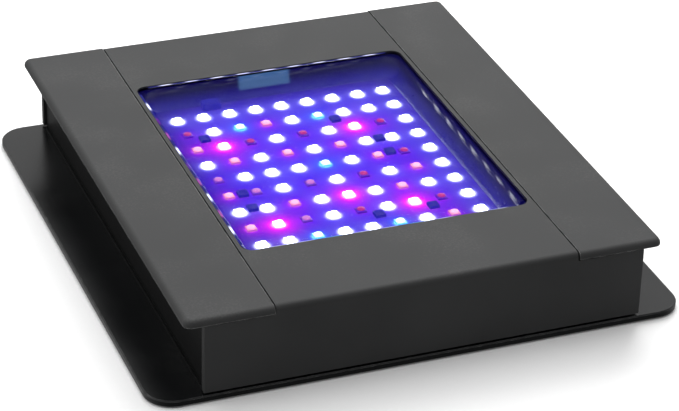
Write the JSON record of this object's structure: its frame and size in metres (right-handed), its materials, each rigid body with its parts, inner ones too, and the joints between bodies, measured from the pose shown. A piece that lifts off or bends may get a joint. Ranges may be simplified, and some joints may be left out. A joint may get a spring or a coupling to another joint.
{
  "type": "led aquarium light",
  "caption": "Flat square LED aquarium light on a larger round-cornered mounting plate, with a rectangular lens window over a lit LED board and a fan-cooled heatsink inside.",
  "frame": {"origin": "middle of the mounting plate's underside", "axes": "+Z out of the light window, -Y towards the front wall, +X to the right seen from the front"},
  "size_m": [0.1926, 0.1984, 0.0317],
  "materials": {
    "wing_sheet": "satin dark grey powder coat with bright cut edges",
    "cover_sheet": "satin dark grey powder coat with bright cut edges",
    "plate_gloss": "high gloss black",
    "rail": "satin black",
    "bracket": "satin black",
    "zinc": "bright zinc plated steel",
    "black_screw": "black oxide steel",
    "lens": "clear polished acrylic",
    "gasket": "matt black silicone",
    "reflector": "polished aluminium",
    "board": "white solder mask on aluminium",
    "pad": "grey thermal pad",
    "sink": "bare extruded aluminium",
    "chip": "dark epoxy",
    "connector": "natural nylon",
    "driver_pcb": "green solder mask",
    "choke": "ferrite",
    "can": "sleeved can",
    "terminal": "green terminal block",
    "black_plastic": "glass-filled black plastic",
    "copper": "enamelled copper",
    "steel": "ground steel",
    "bronze": "sintered bronze",
    "wire": "black insulation",
    "led_wire": "red insulation",
    "white_leds": "lit LED under a clear dome",
    "pink_leds": "lit LED under a clear dome",
    "violet_leds": "lit LED under a clear dome",
    "deep_red_leds": "lit LED under a clear dome",
    "red_leds": "lit LED under a clear dome",
    "cyan_leds": "lit LED under a clear dome"
  },
  "bodies": {
    "housing": {"base_plate": "plate_gloss", "base_screws": "black_screw", "board_chips": "chip", "board_screws": "zinc", "centre_cover": "cover_sheet", "cover_brackets": "bracket", "cyan_leds": "cyan_leds", "deep_red_leds": "deep_red_leds", "driver_board": "driver_pcb", "driver_capacitors": "can", "driver_chips": "chip", "driver_chokes": "choke", "driver_screws": "zinc", "driver_spacers": "zinc", "driver_terminals": "terminal", "fan_bearing": "bronze", "fan_coil": "copper", "fan_frame": "black_plastic", "fan_lead": "wire", "fan_screws": "black_screw", "hanger_nuts": "zinc", "heatsink": "sink", "heatsink_screws": "zinc", "heatsink_standoffs": "zinc", "inlet_nut": "zinc", "led_board": "board", "led_connector": "connector", "led_leads": "led_wire", "left_side_rail": "rail", "left_wing": "wing_sheet", "lens_gasket": "gasket", "light_reflector": "reflector", "pink_leds": "pink_leds", "power_inlet": "black_plastic", "power_leads": "wire", "red_leds": "red_leds", "right_side_rail": "rail", "right_wing": "wing_sheet", "temperature_sensor": "chip", "thermal_pad": "pad", "violet_leds": "violet_leds", "white_leds": "white_leds", "window_lens": "lens", "wing_nuts": "zinc", "wing_studs": "zinc"},
    "fan_wheel": {"fan_rotor": "black_plastic", "fan_shaft": "steel"}
  },
  "joints": [
    {"name": "fan_spin", "type": "hinge", "parent": "housing", "child": "fan_wheel", "pos_m": [0, 0, 0.008], "axis": [0, 0, 1], "continuous": true}
  ]
}
